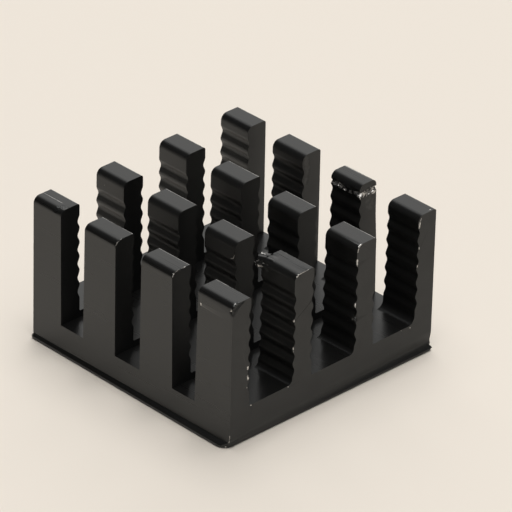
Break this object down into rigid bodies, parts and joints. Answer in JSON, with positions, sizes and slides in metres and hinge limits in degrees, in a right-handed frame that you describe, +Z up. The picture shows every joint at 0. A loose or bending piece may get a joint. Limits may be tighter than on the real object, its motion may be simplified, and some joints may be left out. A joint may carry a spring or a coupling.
{
  "type": "pin fin heat sink",
  "caption": "Small black pin fin heat sink: a square base carrying rows of square-set pins with rippled sides, cut from one aluminium extrusion.",
  "frame": {"origin": "on the underside, in the middle of the base", "axes": "+Z up from the underside along the pins, +Y along the extrusion, +X across the fins towards the flat outer side of the last fin"},
  "size_m": [0.0256, 0.0254, 0.0144],
  "materials": {
    "black_anodised_aluminium": "satin black anodised, with bright nicks on the sawn edges"
  },
  "bodies": {
    "root": {"heat_sink": "black_anodised_aluminium"}
  },
  "joints": []
}
